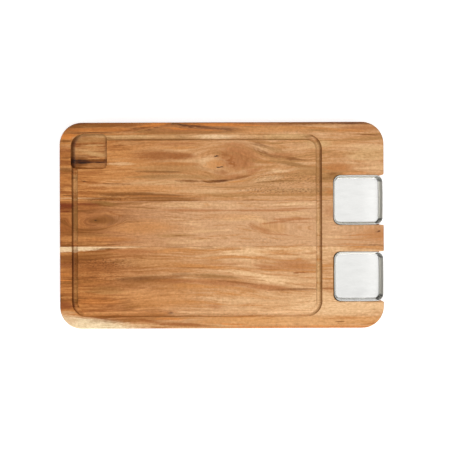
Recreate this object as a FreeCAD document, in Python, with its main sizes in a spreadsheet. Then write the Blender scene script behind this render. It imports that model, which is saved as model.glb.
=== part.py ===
"""Steak board: three glued staves with a juice groove, a gravy well and two side pockets, and a steel tray in each.

Millimetres, +Z up. The origin is on the underside, at the middle of the board's outline. +X runs along the
grain towards the end with the trays, and +Y across the staves towards the gravy well.
"""

import FreeCAD, Part
import math
import os

import Sketcher

NODE_FOLDER = "parts"
TOLERANCE = 0.001
UP = FreeCAD.Vector(0, 0, 1)

# Half width, corner radius and side radius of a tray's outline at the rim.
TRAY_OUTLINE = ("sizes.tray_width / 2", "sizes.tray_corner_radius", "sizes.tray_bow_radius")

# Driving dimensions in mm, and one angle in degrees: name, value, what it is.
DIMENSIONS = [
    ("board_length", 440.0, "along the grain"),
    ("board_width", 280.0, "across the staves"),
    ("board_thickness", 25.0, "planed thickness"),
    ("board_corner_radius", 30.0, "corners of the outline"),
    ("board_edge_round", 1.5, "round-over of the outline and of the pocket mouths"),
    ("upper_stave_width", 106.8, "from the far edge to the first glue line"),
    ("middle_stave_width", 61.6, "between the glue lines"),
    ("groove_margin", 16.2, "board edge to the groove on three sides"),
    ("groove_end_margin", 83.9, "board edge to the groove at the tray end"),
    ("groove_width", 8.4, "at the board's face"),
    ("groove_depth", 3.5, "round bottom, below the board's face"),
    ("groove_corner_radius", 16.5, "of the groove's centre line"),
    ("well_length", 49.0, "gravy well along the grain"),
    ("well_width", 47.7, "gravy well across the grain"),
    ("well_overhang", 0.9, "how far the well reaches past the groove's outer edges"),
    ("well_depth", 8.0, "below the board's face"),
    ("well_corner_radius", 7.0, "three corners that face the field"),
    ("well_outer_corner_radius", 17.0, "corner nearest the board's own corner"),
    ("well_floor_fillet", 6.0, "between the well's wall and floor"),
    ("well_edge_round", 0.5, "easing of the well's and groove's upper edges"),
    ("tray_width", 67.2, "square tray, over the rim"),
    ("tray_height", 17.5, "over all"),
    ("tray_sheet", 0.8, "thickness of the drawn steel"),
    ("tray_corner_radius", 9.5, "at the rim, and the pocket's corners follow it"),
    ("tray_side_bow", 0.5, "how far a side swells past its ends"),
    ("tray_draft", 6.0, "degrees that the walls lean outwards"),
    ("tray_bottom_fillet", 2.8, "outside, between wall and floor"),
    ("tray_rim_round", 0.25, "the rim's two deburred edges"),
    ("tray_clearance", 0.4, "tray rim to the pocket's walls"),
    ("tray_drop", 0.5, "rim below the board's face"),
    ("tray_setback", 1.1, "rim of the pushed-in tray to the board's end"),
    ("lower_tray_pull", 0.7, "how far the lower tray is drawn out"),
    ("lower_arm_width", 36.0, "wood below the lower pocket"),
    ("middle_arm_width", 36.0, "wood between the pockets"),
    ("ledge_setback", 3.5, "end of the pocket's wooden floor to the board's end"),
    ("pocket_edge_round", 0.8, "upper edges of the pocket walls, and the floor's free end"),
]

# Worked-out dimensions: name, formula, what it is.
FORMULAS = [
    ("first_glue_line", "=board_width / 2 - upper_stave_width", "Y of the joint above the middle stave"),
    ("second_glue_line", "=first_glue_line - middle_stave_width", "Y of the joint below the middle stave"),
    ("pocket_width", "=tray_width + 2 * tray_clearance", "opening between two arms"),
    ("pocket_length", "=tray_clearance + tray_width + tray_setback", "from the board's end"),
    ("pocket_depth", "=tray_height + tray_drop", "below the board's face"),
    ("pocket_floor", "=board_thickness - pocket_depth", "Z of the wood that the trays stand on"),
    ("lower_pocket_y", "=lower_arm_width + pocket_width / 2 - board_width / 2", "centre line"),
    ("upper_pocket_y", "=lower_pocket_y + pocket_width + middle_arm_width", "centre line"),
    ("end_half", "=board_width / 2 - board_corner_radius", "half of the end's straight stretch"),
    ("ledge_end", "=board_length / 2 - ledge_setback", "X of the free end of a pocket's floor"),
    ("run_out", "=2 * tray_corner_radius", "how far the pocket cuts run past the board's end"),
    ("groove_centre", "=groove_margin + groove_width / 2", "board edge to centre line"),
    ("groove_end_centre", "=groove_end_margin + groove_width / 2", "the same at the tray end"),
    ("groove_bit_radius", "=(groove_width ^ 2 / 4 + groove_depth ^ 2) / (2 * groove_depth)", "round bottom"),
    ("groove_bit_height", "=board_thickness - groove_depth + groove_bit_radius", "Z of its centre"),
    ("groove_length", "=board_length - groove_centre - groove_end_centre", "centre line to centre line"),
    ("groove_span", "=board_width - 2 * groove_centre", "centre line to centre line"),
    ("groove_middle_x", "=(groove_centre - groove_end_centre) / 2", "middle of the grooved field"),
    ("well_margin", "=groove_margin - well_overhang", "board edge to the well on two sides"),
    ("well_x", "=well_margin + well_length / 2 - board_length / 2", "centre of the gravy well"),
    ("well_y", "=board_width / 2 - well_margin - well_width / 2", "centre of the gravy well"),
    ("tray_bow_radius", "=((tray_width / 2) ^ 2 + tray_side_bow ^ 2) / (2 * tray_side_bow)", "of a side"),
    ("tray_x", "=board_length / 2 - tray_setback - tray_width / 2", "centre of a pushed-in tray"),
]

document = FreeCAD.newDocument("steak_board")
sheet = document.addObject("Spreadsheet::Sheet", "sizes")
for row, (name, value, note) in enumerate(DIMENSIONS + FORMULAS, start=1):
    sheet.set(f"A{row}", name)
    sheet.set(f"B{row}", str(value))
    sheet.setAlias(f"B{row}", name)
    sheet.set(f"C{row}", note)
document.recompute()


def size(name):
    """Present value of a named size, for first guesses that the constraints then take over."""
    return float(sheet.get(name))


def origin_plane(body, role):
    """The body's own origin plane of that role."""
    return next(plane for plane in body.Origin.OriginFeatures if plane.Role == role)


def sketch_on(body, name, role="XY_Plane", x="0", y="0", height="0"):
    """A sketch on an origin plane of its body, moved within and off that plane by formulas."""
    sketch = body.newObject("Sketcher::SketchObject", name)
    sketch.AttachmentSupport = [(origin_plane(body, role), "")]
    sketch.MapMode = "FlatFace"
    for axis, formula in zip("xyz", (x, y, height)):
        sketch.setExpression(f"AttachmentOffset.Base.{axis}", formula)
    return sketch


def drive(sketch, constraint, name, formula):
    """Add a constraint under a name and bind its value to the sheet."""
    index = sketch.addConstraint(constraint)
    sketch.renameConstraint(index, name)
    sketch.setExpression(f"Constraints.{name}", formula)


def join_tangent(sketch, chain):
    """Join each curve's end to the next one's start, tangent, all the way round."""
    for this, following in zip(chain, chain[1:] + chain[:1]):
        sketch.addConstraint(Sketcher.Constraint("Tangent", this[0], this[2], following[0], following[1]))


def rounded_rectangle(sketch, length, width, radii):
    """A rectangle about the sketch's origin, with radii for its corners from lower right, anticlockwise."""
    half_x, half_y, radius = 40.0, 30.0, 5.0
    straight = [
        ((-half_x + radius, -half_y), (half_x - radius, -half_y)),
        ((half_x, -half_y + radius), (half_x, half_y - radius)),
        ((half_x - radius, half_y), (-half_x + radius, half_y)),
        ((-half_x, half_y - radius), (-half_x, -half_y + radius)),
    ]
    centres = [(1, -1), (1, 1), (-1, 1), (-1, -1)]
    chain = []
    corners = []
    for quarter, ((start, end), (side_x, side_y)) in enumerate(zip(straight, centres)):
        line = sketch.addGeometry(Part.LineSegment(FreeCAD.Vector(*start, 0), FreeCAD.Vector(*end, 0)))
        kind = "Vertical" if quarter % 2 else "Horizontal"
        sketch.addConstraint(Sketcher.Constraint(kind, line))
        centre = FreeCAD.Vector(side_x * (half_x - radius), side_y * (half_y - radius), 0)
        circle = Part.Circle(centre, UP, radius)
        turn = math.radians(90 * quarter - 90)
        arc = sketch.addGeometry(Part.ArcOfCircle(circle, turn, turn + math.radians(90)))
        chain += [(line, 1, 2), (arc, 1, 2)]
        corners.append(arc)
    join_tangent(sketch, chain)
    lower, right, upper, left = (chain[2 * side][0] for side in range(4))
    drive(sketch, Sketcher.Constraint("DistanceY", lower, 1, -1, 1, half_y), "lower_half", f"({width}) / 2")
    drive(sketch, Sketcher.Constraint("DistanceX", -1, 1, right, 1, half_x), "right_half", f"({length}) / 2")
    drive(sketch, Sketcher.Constraint("DistanceY", -1, 1, upper, 1, half_y), "upper_half", f"({width}) / 2")
    drive(sketch, Sketcher.Constraint("DistanceX", left, 1, -1, 1, half_x), "left_half", f"({length}) / 2")
    for number, (arc, formula) in enumerate(zip(corners, radii)):
        drive(sketch, Sketcher.Constraint("Radius", arc, radius), f"corner_{number}", formula)


def bowed_square(sketch, half, corner, bow):
    """A square about the sketch's origin whose sides swell slightly, given its half width and two radii."""
    half_now, corner_now, bow_now = (sketch.evalExpression(formula) for formula in (half, corner, bow))
    lead = bow_now - half_now
    reach = bow_now - corner_now
    corner_offset = (math.sqrt(2 * reach**2 - lead**2) - lead) / 2
    swing = math.atan2(corner_offset, corner_offset + lead)
    chain = []
    sides = []
    corners = []
    for quarter in range(4):
        facing = math.radians(90 * quarter)
        out = FreeCAD.Vector(math.cos(facing), math.sin(facing), 0)
        side_circle = Part.Circle(out * -lead, UP, bow_now)
        side = sketch.addGeometry(Part.ArcOfCircle(side_circle, facing - swing, facing + swing))
        diagonal = facing + math.radians(45)
        direction = FreeCAD.Vector(math.cos(diagonal), math.sin(diagonal), 0)
        corner_circle = Part.Circle(direction * corner_offset * math.sqrt(2), UP, corner_now)
        arc_ends = (facing + swing, facing + math.radians(90) - swing)
        arc = sketch.addGeometry(Part.ArcOfCircle(corner_circle, *arc_ends))
        chain += [(side, 1, 2), (arc, 1, 2)]
        sides.append(side)
        corners.append(arc)
    join_tangent(sketch, chain)
    for quarter, side in enumerate(sides):
        sketch.addConstraint(Sketcher.Constraint("PointOnObject", side, 3, -2 if quarter % 2 else -1))
        drive(sketch, Sketcher.Constraint("Radius", side, bow_now), f"bow_{quarter}", bow)
    offset = f"({bow}) - ({half})"
    drive(sketch, Sketcher.Constraint("DistanceX", sides[0], 3, -1, 1, lead), "right_side", offset)
    drive(sketch, Sketcher.Constraint("DistanceY", sides[1], 3, -1, 1, lead), "upper_side", offset)
    drive(sketch, Sketcher.Constraint("DistanceX", -1, 1, sides[2], 3, lead), "left_side", offset)
    drive(sketch, Sketcher.Constraint("DistanceY", -1, 1, sides[3], 3, lead), "lower_side", offset)
    for number, arc in enumerate(corners):
        drive(sketch, Sketcher.Constraint("Radius", arc, corner_now), f"corner_{number}", corner)


def middle_of(edge):
    """A point half way along the edge."""
    return edge.valueAt((edge.FirstParameter + edge.LastParameter) / 2)


def lies_level(edge, height):
    """Whether the whole edge lies at that height."""
    box = edge.BoundBox
    return abs(box.ZMin - height) < TOLERANCE and abs(box.ZMax - height) < TOLERANCE


def inset_from(outline, edge):
    """How far inside the outline, seen from above, the edge's middle lies."""
    point = middle_of(edge)
    return Part.Vertex(point.x, point.y, 0).distToShape(outline.Shape)[0]


def round_edges(body, name, radius, wanted):
    """Fillet the wanted edges of the body's last feature with a radius from the sheet."""
    document.recompute()
    base = body.Tip
    edges = [f"Edge{number}" for number, edge in enumerate(base.Shape.Edges, start=1) if wanted(edge)]
    fillet = body.newObject("PartDesign::Fillet", name)
    fillet.Base = (base, edges)
    fillet.setExpression("Radius", radius)


def cut_pocket(body, place):
    """One tray pocket, open at the board's end, whose wooden floor stops a little short of that end."""
    middle = f"sizes.{place}_pocket_y"
    plan = sketch_on(
        body,
        f"{place}_pocket_plan",
        x="(sizes.board_length - sizes.pocket_length + sizes.run_out) / 2",
        y=middle,
        height="sizes.board_thickness",
    )
    radii = ["sizes.tray_corner_radius"] * 4
    rounded_rectangle(plan, "sizes.pocket_length + sizes.run_out", "sizes.pocket_width", radii)
    pocket = body.newObject("PartDesign::Pocket", f"{place}_pocket")
    pocket.Profile = plan
    pocket.setExpression("Length", "sizes.pocket_depth")
    mouth = body.newObject("PartDesign::SubtractiveBox", f"{place}_mouth")
    mouth.setExpression("Length", "sizes.ledge_setback + sizes.run_out")
    mouth.setExpression("Width", "sizes.pocket_width")
    mouth.setExpression("Height", "sizes.board_thickness")
    mouth.setExpression("Placement.Base.x", "sizes.ledge_end")
    mouth.setExpression("Placement.Base.y", f"{middle} - sizes.pocket_width / 2")


def cut_well(body):
    """The gravy well, with a coved floor."""
    plan = sketch_on(body, "well_plan", x="sizes.well_x", y="sizes.well_y", height="sizes.board_thickness")
    inner = "sizes.well_corner_radius"
    radii = [inner, inner, "sizes.well_outer_corner_radius", inner]
    rounded_rectangle(plan, "sizes.well_length", "sizes.well_width", radii)
    well = body.newObject("PartDesign::Pocket", "well")
    well.Profile = plan
    well.setExpression("Length", "sizes.well_depth")
    floor = size("board_thickness") - size("well_depth")
    round_edges(body, "well_cove", "sizes.well_floor_fillet", lambda edge: lies_level(edge, floor))


def cut_groove(body):
    """The juice groove: a round-nosed cut swept once round the field."""
    path = sketch_on(body, "groove_path", x="sizes.groove_middle_x", height="sizes.groove_bit_height")
    radii = ["sizes.groove_corner_radius"] * 4
    rounded_rectangle(path, "sizes.groove_length", "sizes.groove_span", radii)
    section = sketch_on(
        body,
        "groove_section",
        role="YZ_Plane",
        x="-sizes.groove_span / 2",
        y="sizes.groove_bit_height",
        height="sizes.groove_middle_x",
    )
    bit = section.addGeometry(Part.Circle(FreeCAD.Vector(0, 0, 0), UP, size("groove_bit_radius")))
    section.addConstraint(Sketcher.Constraint("Coincident", bit, 3, -1, 1))
    radius = Sketcher.Constraint("Radius", bit, size("groove_bit_radius"))
    drive(section, radius, "bit", "sizes.groove_bit_radius")
    groove = body.newObject("PartDesign::SubtractivePipe", "juice_groove")
    groove.Profile = section
    document.recompute()
    groove.Spine = (path, [f"Edge{number}" for number in range(1, len(path.Shape.Edges) + 1)])


def make_board():
    """The glued blank, machined in one setting: outline, tray pockets, gravy well and groove."""
    body = document.addObject("PartDesign::Body", "machined_board")
    outline = sketch_on(body, "outline")
    rounded_rectangle(outline, "sizes.board_length", "sizes.board_width", ["sizes.board_corner_radius"] * 4)
    blank = body.newObject("PartDesign::Pad", "blank")
    blank.Profile = outline
    blank.setExpression("Length", "sizes.board_thickness")
    for place in ("lower", "upper"):
        cut_pocket(body, place)
    cut_well(body)
    cut_groove(body)

    face = size("board_thickness")
    field_end = size("board_length") / 2 - size("groove_end_margin")

    def on_outline(edge):
        level = lies_level(edge, 0) or lies_level(edge, face)
        upright = edge.BoundBox.ZLength > face - TOLERANCE
        at_end = abs(middle_of(edge).x - size("board_length") / 2) < TOLERANCE
        at_mouth = upright and at_end and abs(middle_of(edge).y) < size("end_half") - TOLERANCE
        return (level and inset_from(outline, edge) < TOLERANCE) or at_mouth

    def on_pocket(edge):
        level = lies_level(edge, face) and inset_from(outline, edge) > size("board_edge_round")
        return level and middle_of(edge).x > field_end + TOLERANCE

    def on_ledge(edge):
        level = lies_level(edge, 0) or lies_level(edge, size("pocket_floor"))
        return level and abs(middle_of(edge).x - size("ledge_end")) < TOLERANCE

    def on_field(edge):
        level = lies_level(edge, face) and inset_from(outline, edge) > size("well_margin") - TOLERANCE
        return level and middle_of(edge).x < field_end + TOLERANCE

    round_edges(body, "outline_round", "sizes.board_edge_round", on_outline)
    round_edges(body, "pocket_round", "sizes.pocket_edge_round", on_pocket)
    round_edges(body, "ledge_round", "sizes.pocket_edge_round", on_ledge)
    round_edges(body, "field_round", "sizes.well_edge_round", on_field)
    return body


def make_stave(board, name, low, high):
    """The part of the board between two heights in Y, given by formulas."""
    strip = document.addObject("Part::Box", f"{name}_strip")
    strip.setExpression("Length", "sizes.board_length")
    strip.setExpression("Width", f"({high}) - ({low})")
    strip.setExpression("Height", "sizes.board_thickness")
    strip.setExpression("Placement.Base.x", "-sizes.board_length / 2")
    strip.setExpression("Placement.Base.y", low)
    stave = document.addObject("Part::Common", name)
    stave.Base = board
    stave.Tool = strip
    return stave


def make_tray(name, x, y):
    """A drawn steel tray, standing on a pocket's floor with its middle at x and y."""
    body = document.addObject("PartDesign::Body", name)
    body.setExpression("Placement.Base.x", x)
    body.setExpression("Placement.Base.y", y)
    body.setExpression("Placement.Base.z", "sizes.pocket_floor")
    rim = "sizes.tray_height"
    outside = sketch_on(body, f"{name}_outside", height=rim)
    bowed_square(outside, *TRAY_OUTLINE)
    shell = body.newObject("PartDesign::Pad", f"{name}_shell")
    shell.Profile = outside
    shell.Reversed = True
    shell.setExpression("Length", rim)
    shell.setExpression("TaperAngle", "-sizes.tray_draft")
    inside = sketch_on(body, f"{name}_inside", height=rim)
    bowed_square(inside, *(f"{outer} - sizes.tray_sheet" for outer in TRAY_OUTLINE))
    hollow = body.newObject("PartDesign::Pocket", f"{name}_hollow")
    hollow.Profile = inside
    hollow.setExpression("Length", "sizes.tray_height - sizes.tray_sheet")
    hollow.setExpression("TaperAngle", "-sizes.tray_draft")

    levels = {
        "floor": (size("tray_sheet"), "sizes.tray_bottom_fillet - sizes.tray_sheet"),
        "base": (0, "sizes.tray_bottom_fillet"),
        "rim": (size("tray_height"), "sizes.tray_rim_round"),
    }
    for place, (level, radius) in levels.items():
        round_edges(body, f"{name}_{place}_round", radius, lambda edge: lies_level(edge, level))
    return body


board = make_board()
staves = [
    make_stave(board, "upper_stave", "sizes.first_glue_line", "sizes.board_width / 2"),
    make_stave(board, "middle_stave", "sizes.second_glue_line", "sizes.first_glue_line"),
    make_stave(board, "lower_stave", "-sizes.board_width / 2", "sizes.second_glue_line"),
]
trays = [
    make_tray("upper_sauce_tray", "sizes.tray_x", "sizes.upper_pocket_y"),
    make_tray("lower_sauce_tray", "sizes.tray_x + sizes.lower_tray_pull", "sizes.lower_pocket_y"),
]
document.recompute()

failed = [item.Name for item in document.Objects if {"Invalid", "Error"} & set(item.State)]
if failed:
    raise RuntimeError(f"these features failed: {failed}")
for node in staves + trays:
    shape = node.Shape
    if shape.isNull() or not shape.isValid() or len(shape.Solids) != 1:
        raise RuntimeError(f"{node.Label} is not one valid solid")

os.makedirs(NODE_FOLDER, exist_ok=True)
for node in staves + trays:
    node.Shape.exportStep(f"{NODE_FOLDER}/{node.Label}.step")
    print(node.Label, round(node.Shape.Volume), "mm3")
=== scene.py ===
"""Looks for the steak board: three oiled acacia staves and two brushed steel sauce trays."""

import math

import bpy
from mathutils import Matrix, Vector


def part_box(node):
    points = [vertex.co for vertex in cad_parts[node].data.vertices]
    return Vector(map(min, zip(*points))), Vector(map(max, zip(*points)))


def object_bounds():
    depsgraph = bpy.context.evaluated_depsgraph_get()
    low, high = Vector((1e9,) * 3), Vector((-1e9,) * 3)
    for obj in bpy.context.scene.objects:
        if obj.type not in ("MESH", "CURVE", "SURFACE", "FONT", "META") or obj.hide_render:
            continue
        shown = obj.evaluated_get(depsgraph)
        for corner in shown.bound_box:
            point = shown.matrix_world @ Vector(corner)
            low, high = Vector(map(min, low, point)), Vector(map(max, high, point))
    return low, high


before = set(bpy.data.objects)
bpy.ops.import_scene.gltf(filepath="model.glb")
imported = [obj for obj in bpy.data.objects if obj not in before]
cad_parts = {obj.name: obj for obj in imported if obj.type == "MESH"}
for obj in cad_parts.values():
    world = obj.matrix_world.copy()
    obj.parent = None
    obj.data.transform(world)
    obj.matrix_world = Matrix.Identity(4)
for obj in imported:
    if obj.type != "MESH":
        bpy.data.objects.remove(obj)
cad_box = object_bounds()

MILLIMETRE = 0.001
HALF_LENGTH = cad_box[1].x
HALF_WIDTH = cad_box[1].y
BOARD_TOP = cad_box[1].z

# How bright a plain white shows on the lit face, what the oil's shine adds, and the darkest base colour.
LIT = 1.01
SHINE = 0.018
DARKEST = 0.002

# The curve between the eye's scale and light.
TOE = 0.055
GAMMA = 2.4

# Wood tones as they look on the lit board, in the eye's scale of 0 to 255.
TONES = {
    "cream": (250, 226, 184),
    "ivory": (241, 208, 164),
    "wheat": (236, 193, 145),
    "straw": (224, 178, 130),
    "sand": (214, 172, 120),
    "tan": (211, 161, 115),
    "peach": (212, 164, 121),
    "honey": (202, 146, 95),
    "gold": (222, 164, 106),
    "amber": (206, 142, 84),
    "orange": (212, 132, 68),
    "ginger": (188, 122, 68),
    "clay": (182, 120, 74),
    "russet": (160, 98, 54),
    "brick": (126, 62, 38),
    "olive": (156, 110, 62),
    "moss": (182, 134, 84),
    "walnut": (132, 82, 42),
    "umber": (98, 58, 30),
    "soot": (46, 27, 18),
}


def albedo(tone):
    """Base colour that the lights turn into that tone."""
    shares = (channel / 255 for channel in TONES[tone])
    linear = [((share + TOE) / (1 + TOE)) ** GAMMA for share in shares]
    return (*(max(value - SHINE, DARKEST) / LIT for value in linear), 1.0)


# Node helpers


class Value:
    """An output of a node, which can be reckoned with like a number."""

    def __init__(self, tree, socket):
        self.tree = tree
        self.socket = socket

    def calc(self, operation, *others):
        """This value put through a Math node, with others if it takes more."""
        made = add(self.tree, "ShaderNodeMath", operation=operation)
        for target, term in zip(made.inputs, (self, *others)):
            feed(self.tree, target, term)
        return Value(self.tree, made.outputs[0])

    def __add__(self, other):
        return self.calc("ADD", other)

    def __sub__(self, other):
        return self.calc("SUBTRACT", other)

    def __rsub__(self, other):
        return -self + other

    def __mul__(self, other):
        return self.calc("MULTIPLY", other)

    def __truediv__(self, other):
        return self.calc("DIVIDE", other)

    def __pow__(self, other):
        return self.calc("POWER", other)

    def __neg__(self):
        return self.calc("MULTIPLY", -1.0)

    def __abs__(self):
        return self.calc("ABSOLUTE")


def feed(tree, target, value):
    """Link an input to an output, or set a plain value on it."""
    if isinstance(value, Value):
        value = value.socket
    if isinstance(value, bpy.types.NodeSocket):
        tree.links.new(value, target)
    else:
        target.default_value = value


def add(tree, kind, inputs=None, **settings):
    """A node with its settings made, and its inputs linked or set by name or number."""
    made = tree.nodes.new(kind)
    for name, value in settings.items():
        setattr(made, name, value)
    for key, value in (inputs or {}).items():
        feed(tree, made.inputs[key], value)
    return made


def ramp(value, low, high, first=0.0, last=1.0):
    """Smooth step from a first share to a last one as the value goes from low to high."""
    inputs = {0: value, 1: low, 2: high, 3: first, 4: last}
    made = add(value.tree, "ShaderNodeMapRange", inputs, interpolation_type="SMOOTHSTEP")
    return Value(value.tree, made.outputs[0])


def mix(tree, share, first, second, way="MIX"):
    """Two colours mixed by a share."""
    made = add(tree, "ShaderNodeMix", data_type="RGBA", blend_type=way)
    for target, value in zip((made.inputs[0], made.inputs[6], made.inputs[7]), (share, first, second)):
        feed(tree, target, value)
    return Value(tree, made.outputs[2])


def tinted(colour, tint, share=1.0):
    """A colour times a tint or a shade, in full or by a share."""
    return mix(colour.tree, share, colour, tint, "MULTIPLY")


def vector(tree, x, y, z):
    """A vector from three values or numbers."""
    return Value(tree, add(tree, "ShaderNodeCombineXYZ", {0: x, 1: y, 2: z}).outputs[0])


def split(tree, place):
    """The three parts of a vector."""
    return [Value(tree, part) for part in add(tree, "ShaderNodeSeparateXYZ", {0: place}).outputs]


def scaled(tree, place, rates):
    """A vector with each part times its own rate."""
    made = add(tree, "ShaderNodeVectorMath", {0: place, 1: rates}, operation="MULTIPLY")
    return Value(tree, made.outputs[0])


def noise(place, seed, detail, roughness=0.5):
    """Noise about 0.5 at a scaled place, different for each seed."""
    inputs = {"Vector": place, "W": seed, "Scale": 1.0, "Detail": detail, "Roughness": roughness}
    made = add(place.tree, "ShaderNodeTexNoise", inputs, noise_dimensions="4D")
    return Value(place.tree, made.outputs[0])


def new_group(name, inputs, outputs):
    """A node group with named sockets, and its inputs as values. All outputs but Colour are numbers."""
    tree = bpy.data.node_groups.new(name, "ShaderNodeTree")
    for label, value in inputs.items():
        kind = "Float" if isinstance(value, float) else "Color" if len(value) == 4 else "Vector"
        socket = tree.interface.new_socket(label, in_out="INPUT", socket_type=f"NodeSocket{kind}")
        socket.default_value = value
    for label in outputs:
        kind = "Color" if label == "Colour" else "Float"
        tree.interface.new_socket(label, in_out="OUTPUT", socket_type=f"NodeSocket{kind}")
    sockets = tree.nodes.new("NodeGroupInput").outputs
    return tree, {label: Value(tree, sockets[label]) for label in inputs}


def finish_group(tree, results):
    """The group with its results given, by name."""
    add(tree, "NodeGroupOutput", results)
    return tree


def use(tree, group, inputs, label=""):
    """A group placed in a tree; its outputs as values, by name."""
    made = add(tree, "ShaderNodeGroup", inputs, node_tree=group, label=label)
    return {socket.name: Value(tree, socket) for socket in made.outputs}


def new_material(name):
    """A material, its node tree, its shader and its coordinates."""
    material = bpy.data.materials.new(name)
    material.use_nodes = True
    tree = material.node_tree
    return material, tree, tree.nodes["Principled BSDF"], add(tree, "ShaderNodeTexCoord").outputs


def wire(tree, shader, colour, roughness, height, bump):
    """Give a shader its colour, its roughness and its bumps."""
    bumps = add(tree, "ShaderNodeBump", {"Height": height, **bump})
    feed(tree, shader.inputs["Base Color"], colour)
    feed(tree, shader.inputs["Roughness"], roughness)
    feed(tree, shader.inputs["Normal"], bumps.outputs[0])


# Wood effects that the staves share

# Waves in the grain: how fast they change along and across, in cycles a millimetre, their seed and detail.
WAVE = (0.022, 0.16, 0.0, 3.0)
FLOW = (0.008, 0.03, 9.0, 1.0)

# How far the waves shift the grain, in millimetres.
WAVE_ALONG = 14.0
WAVE_ACROSS = 3.2
WAVE_IN_CUTS = 1.0
FLOW_ACROSS = 14.0

# Share of an eye's radius within which the grain is all rings.
EYE_CORE = 0.55

# Power by which a mark fades over its width.
MARK_POWER = 1.6

# What the groups that shape the grain read first.
GRAIN = {"Along": 0.0, "Across": 0.0, "X": 0.0, "Y": 0.0}

# The figure's noises: length and width of what they draw in millimetres, seed, detail and roughness.
FIGURE = {
    "Bands": (150, 11, 10, 2, 0.5),
    "Stripes": (85, 3.6, 15, 3, 0.6),
    "Streaks": (24, 2.2, 20, 3, 0.62),
    "Fibres": (6.5, 0.55, 30, 2, 0.6),
    "Pores": (4, 0.55, 40, 1, 0.5),
    "Pore Zone": (60, 7, 50, 1, 0.5),
    "Shimmer": (4, 3, 60, 3, 0.7),
    "Specks": (3.4, 1.1, 70, 1, 0.5),
}
PORES_FROM_TO = (0.62, 0.76)
PORE_ZONES_FROM_TO = (0.35, 0.65, 0.3, 1.0)
SPECKS_FROM_TO = (0.5, 0.62)

# How strongly noises swing the wood's shade, and how strongly pores and specks darken it.
SWINGS = {"Fibres": 0.45, "Streaks": 0.5, "Shimmer": 0.8}
SPOTS = {"Pores": 0.45, "Specks": 0.75}

# Shades between which the wood goes from light lines to dark ones.
LIGHT_TO_DARK = (1.15, 0.85)

# Tints of the wood's light and dark lines, the painted shade deep in cuts, end grain, the painted light on
# the inner walls of grooves, and the painted shade on the outer walls of groove and well.
LIGHT_LINES = (1.0, 1.02, 1.07, 1.0)
DARK_LINES = (1.0, 0.95, 0.87, 1.0)
DEEP_CUT_PAINTED_SHADE = (0.93, 0.87, 0.8, 1.0)
END_GRAIN = (0.6, 0.52, 0.42, 1.0)
INNER_WALL_PAINTED_LIGHT = (0.98, 1.0, 1.04, 1.0)
OUTER_WALL_PAINTED_SHADE = (0.62, 0.56, 0.48, 1.0)
WELL_WALL_PAINTED_SHADE = (0.52, 0.48, 0.42, 1.0)

# Painted light and shade on a cut's walls: how much those that face far are lightened, and those that face
# near darkened.
SLOPE_SHADE = 0.24

# Depths between which the tones and the painted light and shade of cuts change, in millimetres.
CUT_DEPTHS = (0.3, 1.5)
CUT_MARK_DEPTHS = (0.3, 1.2)
DEEP_DEPTHS = (5.0, 7.5)
SHALLOW_DEPTHS = (5.5, 4.0)
WELL_DEPTHS = (3.0, 6.0)

# Tilts towards the board's middle between which walls of groove and well get their painted light and shade,
# what the outer wall's painted shade changes by from the left half to the right one, and tilts of end grain.
INNER_TILTS = (-0.1, -0.6)
OUTER_TILTS = (0.2, 0.75)
WELL_TILTS = (0.02, 0.4)
CHANGE_TO_RIGHT = -0.25
MIDDLE = (-10 * MILLIMETRE, 10 * MILLIMETRE)
END_GRAIN_TILTS = (0.25, 0.9)

# Distances from the outline between which the painted light and shade of cuts fade out, as the board's edge
# has none.
EDGE_START = 12 * MILLIMETRE
EDGE_END = 6 * MILLIMETRE

# Half widths of a glue line's edge and core, and its strength.
GLUE_EDGE = 0.35 * MILLIMETRE
GLUE_CORE = 0.05 * MILLIMETRE
GLUE_STRENGTH = 0.5

# Roughness of the oiled wood, and what fibres, pores and end grain add.
WOOD_ROUGHNESS = 0.36
FIBRE_ROUGHNESS = 0.25
PORE_ROUGHNESS = 0.2
END_GRAIN_ROUGHNESS = 0.12
FIBRE_HEIGHT = 0.35


def make_grain_place():
    """Millimetres along, across and below the face, on rings that lean through the board, and ragged ones."""
    inputs = {"Position": (0.0, 0.0, 0.0), "Ring Lean": 0.5, "Seed": 0.0}
    outputs = ("Along", "Across", "Depth", "Ragged Along", "Ragged Across", "Cut Across")
    tree, inside = new_group("Grain place", inputs, outputs)
    x, y, z = split(tree, scaled(tree, inside["Position"], (1 / MILLIMETRE,) * 3))
    depth = BOARD_TOP / MILLIMETRE - z
    across = depth * inside["Ring Lean"] + y

    def wander(rate_along, rate_across, seed, detail):
        place = vector(tree, x * rate_along, across * rate_across, 0.0)
        return noise(place, inside["Seed"] + seed, detail) - 0.5

    wave = wander(*WAVE)
    results = {
        "Along": x,
        "Across": wander(*FLOW) * FLOW_ACROSS + across,
        "Depth": depth,
        "Ragged Along": wave * WAVE_ALONG + x,
        "Ragged Across": wave * WAVE_ACROSS + across,
        "Cut Across": wave * WAVE_IN_CUTS + y,
    }
    return finish_group(tree, results)


def make_push():
    """The grain bulging sideways about a place."""
    inputs = {**GRAIN, "Half Length": 60.0, "Half Width": 20.0, "Shift": 5.0}
    tree, inside = new_group("Grain bulge", inputs, ["Across"])
    u = (inside["Along"] - inside["X"]) / inside["Half Length"]
    v = (inside["Across"] - inside["Y"]) / inside["Half Width"]
    fade = (-(u * u + v * v)).calc("EXPONENT")
    return finish_group(tree, {"Across": inside["Across"] - fade * inside["Shift"]})


def make_eye():
    """The grain closing in rings round a place, long ones if the stretch is large."""
    tree, inside = new_group("Grain eye", {**GRAIN, "Stretch": 2.0, "Radius": 20.0}, ["Across"])
    u = (inside["Along"] - inside["X"]) / inside["Stretch"]
    v = inside["Across"] - inside["Y"]
    distance = (u * u + v * v).calc("SQRT")
    share = ramp(distance / inside["Radius"], 1.0, EYE_CORE)
    step = inside["Y"] + distance - inside["Across"]
    return finish_group(tree, {"Across": step * share + inside["Across"]})


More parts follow.
